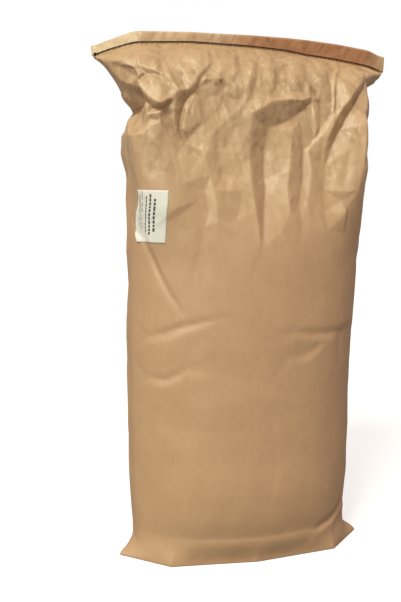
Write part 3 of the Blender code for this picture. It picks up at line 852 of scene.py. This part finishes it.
def build_facets():
    """Small flat facets: each cell of a warped pattern turns the normal its own way."""
    tree, entry, leave = group("paper_facets", {"Amount": 0.2, "Start": 0.64}, {"Normal": VECTOR})
    rise = along_axis(tree, "Z", entry["Start"], CRUMPLED_ABOVE, 0.10)
    reach = maths(tree, "MULTIPLY", rise, entry["Amount"])
    place = warped(tree, 30.0, 1.0, 0.02)
    normal = node(tree, "ShaderNodeNewGeometry", {}).outputs["Normal"]
    for size, share, lean in ((55.0, 1.0, 0.35), (130.0, 0.8, -0.5)):
        form = {"Vector": place, "Rotation": (0, lean, 0), "Scale": (1.0, 1.0, 0.42)}
        turned = node(tree, "ShaderNodeMapping", form).outputs[0]
        cells = node(tree, "ShaderNodeTexVoronoi", {"Vector": turned, "Scale": size})
        centred = vectors(tree, "SUBTRACT", cells.outputs["Color"], (0.5, 0.5, 0.5))
        tilt = scaled(tree, centred, maths(tree, "MULTIPLY", reach, share))
        normal = vectors(tree, "ADD", normal, tilt)
    tree.links.new(vectors(tree, "NORMALIZE", normal), leave["Normal"])
    return tree


FIBRES = build_fibres()
WRINKLES = build_wrinkles()
FACETS = build_facets()
print("node groups:", FIBRES.name, WRINKLES.name, FACETS.name)

# %% [markdown]
# A paper material mixes a dark and a light brown by the fibres, lightens the worn ridges,
# darkens the valleys a little as painted shade and feeds both heights to Bump nodes. Paper
# that has been folded and pressed also gets the small facets, and painted light: its crown
# is made paler and yellower, where it leans up into the suns. The label has neither.

# %% Paper materials
# Ridges are worn lighter and valleys get painted shade, both in full at this many millimetres from the
# paper round them
FULL_WEAR_AND_SHADE = 1.2  # millimetres from the paper round it at which a ridge is fully worn
# Painted light: the crown's colour is multiplied by this, paler and yellower where it leans up into the
# suns
CROWN_PAINTED_LIGHT = (1.07, 1.14, 1.14, 1)
# Heights between which the painted light on the crown rises
CROWN_PAINTED_LIGHT_HEIGHTS = (0.50, 0.74)


def new_paint(name, roughness, gloss):
    """A material, its node tree and the inputs of its shader."""
    made = bpy.data.materials.new(name)
    made.use_nodes = True
    shader = made.node_tree.nodes["Principled BSDF"]
    shader.inputs["Roughness"].default_value = roughness
    shader.inputs["Specular IOR Level"].default_value = gloss
    return made, made.node_tree, shader.inputs


def mixed_colour(tree, factor, first, second, **settings):
    sockets = {"Factor": factor, "A": first, "B": second}
    return node(tree, "ShaderNodeMix", sockets, data_type="RGBA", **settings).outputs["Result"]


def paper(name, dark, light, contrast, roughness, bump, wrinkle, wear_and_valley_shade=0.0, gloss=0.35, facets=0.0):
    """A paper paint: bump and wrinkle are the heights of its fibres and small creases in metres."""
    made, tree, surface = new_paint(name, roughness, gloss)
    fibres = node(tree, "ShaderNodeGroup", {}, node_tree=FIBRES)
    fibres.inputs["Contrast"].default_value = contrast
    wrinkles = node(tree, "ShaderNodeGroup", {}, node_tree=WRINKLES)
    ridge_height = node(tree, "ShaderNodeAttribute", {}, attribute_name="ridge")
    spread = {"Value": ridge_height.outputs["Fac"], "From Min": -FULL_WEAR_AND_SHADE, "From Max": FULL_WEAR_AND_SHADE}
    # Worn ridges turn lighter, and valleys turn darker as painted shade
    wear_and_shade = node(tree, "ShaderNodeMapRange", spread | {"To Min": -wear_and_valley_shade, "To Max": wear_and_valley_shade})
    lifted = maths(tree, "ADD", fibres.outputs["Factor"], wear_and_shade.outputs[0])
    share = node(tree, "ShaderNodeMapRange", {"Value": lifted, "From Min": 0.7, "From Max": 1.3})
    tint = mixed_colour(tree, share.outputs[0], (*dark, 1), (*light, 1))
    coarse = node(tree, "ShaderNodeBump", {"Height": wrinkles.outputs["Height"], "Distance": wrinkle})
    if facets:
        # Painted light on the crown, which leans up into the suns
        rise = along_axis(tree, "Z", *CROWN_PAINTED_LIGHT_HEIGHTS, interpolation_type="SMOOTHSTEP")
        tint = mixed_colour(tree, rise, tint, CROWN_PAINTED_LIGHT, blend_type="MULTIPLY")
        crumpled = node(tree, "ShaderNodeGroup", {}, node_tree=FACETS)
        crumpled.inputs["Amount"].default_value = facets
        tree.links.new(crumpled.outputs["Normal"], coarse.inputs["Normal"])
    heights = {"Height": fibres.outputs["Height"], "Normal": coarse.outputs["Normal"]}
    fine = node(tree, "ShaderNodeBump", heights | {"Distance": bump})
    tree.links.new(tint, surface["Base Color"])
    tree.links.new(fine.outputs["Normal"], surface["Normal"])
    return made


kraft = paper(
    "Kraft paper", (0.39, 0.225, 0.115), (0.58, 0.36, 0.20), contrast=0.35, roughness=0.54,
    bump=0.00005, wrinkle=0.0006, wear_and_valley_shade=0.14, gloss=1.0, facets=0.30,
)
skin = new_piece("sack_skin", bm, kraft)
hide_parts("sack_tube", "leaf_fill")
print("painted:", skin.name, "with", kraft.name)

# %% [markdown]
# The band over the mouth is the same kind of paper. A colour ramp across the sack paints
# light and shade on it: a paler painted highlight at the left and at the very right end,
# where the suns fall on it, and a darker, redder painted shade between, where it turns away.

# %% Tape paper
TAPE_ENDS = (-0.26, 0.28)
# Share of the way across, and what the paper's colour is multiplied by to paint light and shade
TAPE_PAINTED_SHADING = [
    (0.12, (1.20, 1.42, 1.50, 1)),
    (0.16, (1.16, 1.24, 1.36, 1)),
    (0.40, (1.22, 1.30, 1.46, 1)),
    (0.50, (1.0, 0.82, 0.74, 1)),
    (0.90, (1.0, 0.78, 0.70, 1)),
    (0.98, (1.10, 1.10, 1.05, 1)),
]


def paint_shading_across(made, ends, shading_stops):
    """Multiplies a paint's colour by painted light and shade across the sack."""
    tree = made.node_tree
    base = tree.nodes["Principled BSDF"].inputs["Base Color"]
    ramp = node(tree, "ShaderNodeValToRGB", {0: along_axis(tree, "X", *ends)})
    stops = ramp.color_ramp.elements
    stops[0].position, stops[0].color = shading_stops[0]
    stops[1].position, stops[1].color = shading_stops[-1]
    for position, colour in shading_stops[1:-1]:
        stops.new(position).color = colour
    paint = base.links[0].from_socket
    tree.links.new(mixed_colour(tree, 1.0, paint, ramp.outputs["Color"], blend_type="MULTIPLY"), base)


tape_paper = paper(
    "Tape kraft", (0.39, 0.22, 0.115), (0.58, 0.35, 0.20), contrast=0.35, roughness=0.5,
    bump=0.00005, wrinkle=0.0004, gloss=0.8, facets=0.12,
)
# Painted light and shade: the tape is made paler at the left and darker and redder at the right
paint_shading_across(tape_paper, TAPE_ENDS, TAPE_PAINTED_SHADING)
print("tints:", len(TAPE_PAINTED_SHADING))

# %% [markdown]
# The tape is a strip of creped paper folded over the mouth and sewn through. It is a grid
# whose short way walks up the front leg, over the fold and down the back leg. The stitches
# hold it flat along the sewn line, and away from them it waves a little.

# %% Closure tape
TAPE = 0.0007
TAPE_HALF_GAP = HEM_HALF_DEPTH + GAP
TAPE_BELOW_SEAM = 0.0012
TAPE_OVERHANG = 0.0015
TAPE_STATIONS = 260
TAPE_ROWS = 18
TAPE_WAVE = 0.0009
TAPE_WAVE_SPACING = 0.011
TAPE_RIPPLE_SPACING = 0.006
TAPE_STAND_OFF = 0.0003  # away from the stitches, on average
TAPE_SEED = 5
TAPE_FOLD = 0.16  # share of each leg's walk that turns over the mouth
TAPE_LIVELY_END = 0.225  # the band waves more from here to its right end
HELD_FLAT = 0.008  # the stitches hold the band flat so far from the sewn line


def random_line(x, spacing, seed):
    """Straight stretches between random heights, for a strip's waves."""
    noise = np.random.default_rng(seed)
    knots = np.arange(-0.30, 0.32, spacing)
    knots = knots + noise.uniform(-0.4, 0.4, len(knots)) * spacing
    return np.interp(x, knots, noise.uniform(-1, 1, len(knots)))


def tape_place(x, walk):
    """Walk runs from -1 at the front leg's foot over 0 at the fold to 1 at the back leg's foot."""
    foot = mouth_curve(2, x) - TAPE_BELOW_SEAM
    top = mouth_curve(3, x) + GAP
    seam = mouth_curve(2, x)
    turn = np.clip(np.abs(walk) / TAPE_FOLD, 0.0, 1.0) * math.pi / 2
    down = np.clip((np.abs(walk) - TAPE_FOLD) / (1 - TAPE_FOLD), 0.0, 1.0)
    half = TAPE_HALF_GAP * np.sin(turn)
    z = top + TAPE_HALF_GAP * 0.6 * np.cos(turn) - (top - foot) * down
    away = np.clip(np.abs(z - seam) / HELD_FLAT, 0.0, 1.0)
    wave = random_line(x + 0.35 * (z - foot) + 0.01 * walk, TAPE_WAVE_SPACING, TAPE_SEED)
    wave = wave + 0.7 * random_line(x - 0.5 * (z - foot), TAPE_RIPPLE_SPACING, TAPE_SEED + 1)
    lively = 1.0 + 0.3 * smooth((x - TAPE_LIVELY_END) / 0.03)
    half = half + (wave * TAPE_WAVE * lively + TAPE_STAND_OFF) * away * np.sin(turn)
    half = np.maximum(half, 0.4 * TAPE_HALF_GAP * np.sin(turn))
    y = mouth_curve(1, x) + np.sign(walk) * half - hem_lean(x, z)
    return np.stack([x, y, z], -1)


bm = bmesh.new()
bmesh.ops.create_grid(bm, x_segments=TAPE_STATIONS, y_segments=TAPE_ROWS, size=0.5)
flat = np.array([vertex.co[:2] for vertex in bm.verts])
ends = (MOUTH[0][0] - TAPE_OVERHANG, MOUTH[-1][0] + TAPE_OVERHANG)
along = np.interp(flat[:, 0], [-0.5, 0.5], ends)
for vertex, place in zip(bm.verts, tape_place(along, flat[:, 1] * 2)):
    vertex.co = place
bmesh.ops.recalc_face_normals(bm, faces=bm.faces)
tape = new_piece("tape_strip", bm, tape_paper)
tape_shell = tape.modifiers.new("Tape paper", "SOLIDIFY")
tape_shell.thickness = TAPE * 0.8
tape_shell.offset = 1
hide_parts("closure_tape")
print("tape:", len(tape.data.polygons), "faces")

# %% [markdown]
# The seam is a chain stitch: on the front the needle thread lies in short straight stitches
# that dip into the paper at each hole, and on the back the looper thread makes a chain of
# loops. Both are curves with a round bevel. The seam starts in a small knot at the left.

# %% Threads
THREAD_RADIUS = 0.0008
STITCH = 0.0085
THREAD_AWAY = TAPE_HALF_GAP + TAPE + THREAD_RADIUS * 0.7
# Share of the stitch, how far it stands off and how thick it is
STITCH_FORM = [(0.0, -0.0010, 0.8), (0.10, -0.0001, 1.0), (0.3, 0.0001, 1.08), (0.7, 0.0001, 1.08),
               (0.90, -0.0001, 1.0)]
LOOP_REACH = 1.18  # a loop's length in stitches, so that each holds the next
LOOP_WIDTH = 0.0011
LOOP_OVER = 0.0005  # a loop's wide end lies over the next loop's start
KNOT_RADIUS = 0.0016
KNOT_SPREAD = 0.00016  # how far the knot's turns move along the seam for each radian


def thread_material():
    """Dark blue yarn: bands across the thread stand for its twist, with painted shade in the grooves
    between its turns.
    """
    made, tree, surface = new_paint("Navy yarn", roughness=0.85, gloss=0.2)
    bands = {"Vector": object_place(tree), "Scale": 420.0, "Distortion": 1.5}
    twist = node(tree, "ShaderNodeTexWave", bands, bands_direction="DIAGONAL").outputs["Fac"]
    # Painted shade: the colour is darker where the bump sinks into the twist's grooves
    colour = mixed_colour(tree, twist, (0.010, 0.010, 0.014, 1), (0.028, 0.028, 0.038, 1))
    bump = node(tree, "ShaderNodeBump", {"Height": twist, "Distance": 0.0003})
    tree.links.new(colour, surface["Base Color"])
    tree.links.new(bump.outputs["Normal"], surface["Normal"])
    return made


yarn = thread_material()


def seam_place(x, side, away, rise=0.0):
    """A place over the sewn line, on the front (side -1) or the back (side 1)."""
    station = np.array([x])
    return (x, float(mouth_curve(1, station)[0] + side * away), float(mouth_curve(2, station)[0] + rise))


def thread_curve(name, strands, radius, closed=False):
    """Round strands through places, each with its own thickness."""
    data = bpy.data.curves.new(name, "CURVE")
    data.dimensions = "3D"
    data.bevel_depth = radius
    data.bevel_resolution = 2
    data.use_fill_caps = True
    for points in strands:
        strand = data.splines.new("POLY")
        strand.points.add(len(points) - 1)
        strand.use_cyclic_u = closed
        for point, (place, scale) in zip(strand.points, points):
            point.co = (*place, 1)
            point.radius = scale
    data.materials.append(yarn)
    piece = bpy.data.objects.new(name, data)
    bpy.context.scene.collection.objects.link(piece)
    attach(piece, ROOT)
    return piece


def needle_points(start, end):
    """One strand of stitches: each lies on the tape and dips in at its ends."""
    points = []
    for hole in np.arange(start, end - STITCH, STITCH):
        for t, away, scale in STITCH_FORM:
            points.append((seam_place(hole + t * STITCH, -1, THREAD_AWAY + away), scale))
    return points


def looper_loop(hole):
    """One loop of the chain, narrow at its start and wide at its end."""
    points = []
    for angle in np.linspace(0, 2 * math.pi, 14, endpoint=False):
        t = (1 - math.cos(angle)) / 2
        rise = LOOP_WIDTH * math.sin(angle) * (0.35 + t)
        away = THREAD_AWAY + LOOP_OVER * (t > 0.8)
        points.append((seam_place(hole + t * STITCH * LOOP_REACH, 1, away, rise), 0.62))
    return points


seam_ends = (MOUTH[0][0] + 0.002, MOUTH[-1][0] - 0.001)
needle = thread_curve("needle_stitches", [needle_points(*seam_ends)], THREAD_RADIUS)
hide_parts("needle_thread")
loops = [looper_loop(hole) for hole in np.arange(seam_ends[0], seam_ends[1] - STITCH * 1.2, STITCH)]
looper = thread_curve("looper_chain", loops, THREAD_RADIUS, closed=True)
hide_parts("looper_thread")


def knot_strand():
    """A small overhand knot: two and a half turns, and a short tail that hangs."""
    points = []
    for angle in np.linspace(0, 5 * math.pi, 30):
        x = seam_ends[0] - 0.0005 + angle * KNOT_SPREAD
        away = THREAD_AWAY + KNOT_RADIUS * math.cos(angle)
        points.append((seam_place(x, -1, away, KNOT_RADIUS * math.sin(angle)), 1.1))
    for drop in (0.003, 0.006, 0.009):
        points.append((seam_place(seam_ends[0] + 0.001, -1, THREAD_AWAY + 0.0008, -drop), 0.8))
    return points


knot = thread_curve("seam_knot", [knot_strand()], THREAD_RADIUS)
print("stitches:", int((seam_ends[1] - seam_ends[0]) / STITCH))

# %% [markdown]
# The label and the back lap are sheets that lie on the skin. Each is a grid that asks the
# folded wall for its place and is lifted a little, so that it follows every dent under it.
# The label has one corner tucked under, a wavy left edge and a slight curl.

# %% Sheets on the wall
def folded_wall(share, height, lift):
    """Places on the folded wall, lifted outward."""
    return plain_wall(share, height) + outward(share, height) * (fold_shift(share, height) + lift)[:, None]


def wall_sheet(name, columns, rows, to_wall, paint, thickness):
    """A grid over the wall: to_wall turns its two shares into share, height and lift."""
    bm = bmesh.new()
    bmesh.ops.create_grid(bm, x_segments=columns, y_segments=rows, size=0.5)
    flat = np.array([vertex.co[:2] for vertex in bm.verts]) + 0.5
    places = folded_wall(*to_wall(flat[:, 0], flat[:, 1]))
    uv = bm.loops.layers.uv.new("sheet")
    bm.verts.index_update()
    for face in bm.faces:
        for loop in face.loops:
            loop[uv].uv = flat[loop.vert.index]
    for vertex, place in zip(bm.verts, places):
        vertex.co = place
    bmesh.ops.recalc_face_normals(bm, faces=bm.faces)
    piece = new_piece(name, bm, paint)
    shell = piece.modifiers.new("Thickness", "SOLIDIFY")
    shell.thickness = thickness
    shell.offset = 1
    return piece


LABEL_SIZE = (0.070, 0.086)
LABEL_PLACE = (0.083, 0.594)
LABEL_TURN = math.radians(-1)
FOLDED_CORNER = (0.20, 0.16)  # how much of the width and the height is tucked under
EDGE_WAVE = 0.05  # of the left edge, as a share of the width
CURL = 0.0022  # how far the left edge stands off at the bottom
CURL_WIDTH = 0.16
LAP_SHARES = (0.7726, 0.8178)
LAP_HEIGHTS = (0.05, SEAM_HEIGHT - 0.012)


def label_to_wall(u, v, lift=0.0006):
    """A place on the label, from its lower left corner, as a place on the wall."""
    tucked = FOLDED_CORNER[0] * np.clip(1 - v / FOLDED_CORNER[1], 0.0, 1.0)
    wavy = EDGE_WAVE * np.sin(9 * v) * (1 - v)
    across = (tucked + wavy + u * (1 - tucked - wavy) - 0.5) * LABEL_SIZE[0]
    up = (v - 0.5) * LABEL_SIZE[1]
    along = across * math.cos(LABEL_TURN) - up * math.sin(LABEL_TURN)
    rise = across * math.sin(LABEL_TURN) + up * math.cos(LABEL_TURN)
    curl = smooth((CURL_WIDTH - u) / CURL_WIDTH) * CURL * smooth((0.75 - v) / 0.5)
    return (LABEL_PLACE[0] + along) / GIRTH, LABEL_PLACE[1] + rise, lift + curl


def lap_to_wall(u, v):
    """A place on the straight lap down the back."""
    share = LAP_SHARES[0] + u * (LAP_SHARES[1] - LAP_SHARES[0])
    return share, LAP_HEIGHTS[0] + v * (LAP_HEIGHTS[1] - LAP_HEIGHTS[0]), np.full(len(u), 0.0004)


white = paper(
    "Label paper", (0.66, 0.65, 0.60), (0.86, 0.85, 0.80), contrast=0.3, roughness=0.55,
    bump=0.00003, wrinkle=0.0002,
)
label = wall_sheet("side_label", 26, 34, label_to_wall, white, 0.0003)
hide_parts("label")
lap = wall_sheet("lap_sheet", 10, 150, lap_to_wall, kraft, 0.0006)
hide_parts("back_lap")

print("sheets:", label.name, lap.name)

# %% [markdown]
# The print on the label is a few rows of plain dashes that stand for its lines of text.
# Each dash is a small grid that asks the same label function for its place, so that it lies
# just over the paper.

# %% Print
# Place across the label, width, both ends up the label and a dash's length, as shares of it
PRINT_ROWS = [
    (0.47, 0.030, 0.20, 0.84, 0.055),
    (0.58, 0.045, 0.16, 0.86, 0.060),
    (0.70, 0.050, 0.22, 0.80, 0.075),
    (0.20, 0.012, 0.30, 0.88, 0.110),
    (0.27, 0.012, 0.22, 0.88, 0.080),
    (0.34, 0.012, 0.28, 0.88, 0.140),
]
PRINT_SEED = 4
PRINT_LIFT = 0.00098
DASH_GAP = 0.28  # as a share of a dash

ink, _, ink_surface = new_paint("Label ink", roughness=0.6, gloss=0.5)
ink_surface["Base Color"].default_value = (0.06, 0.06, 0.06, 1)
noise = np.random.default_rng(PRINT_SEED)
bm = bmesh.new()
for row_u, width, low_v, high_v, length in PRINT_ROWS:
    v_now = low_v
    while v_now < high_v:
        dash = length * noise.uniform(0.5, 1.1)
        made = bmesh.ops.create_grid(bm, x_segments=1, y_segments=4, size=0.5)["verts"]
        spots = np.array([vertex.co[:2] for vertex in made])
        u_dash = row_u + spots[:, 0] * width
        v_dash = v_now + (spots[:, 1] + 0.5) * dash
        for vertex, place in zip(made, folded_wall(*label_to_wall(u_dash, v_dash, PRINT_LIFT))):
            vertex.co = place
        v_now += dash + length * DASH_GAP
bmesh.ops.recalc_face_normals(bm, faces=bm.faces)
dashes = new_piece("label_dashes", bm, ink)
print("label dashes:", len(dashes.data.polygons) // 4)

# %% [markdown]
# The cover sheet under the base is flat and lies on the floor, so the plain solid is kept
# and only gets the paper's paint.

# %% Cover sheet
cover_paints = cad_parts["bottom_patch"].data.materials
cover_paints.clear()
cover_paints.append(kraft)
print("cover sheet:", [paint.name for paint in cover_paints])
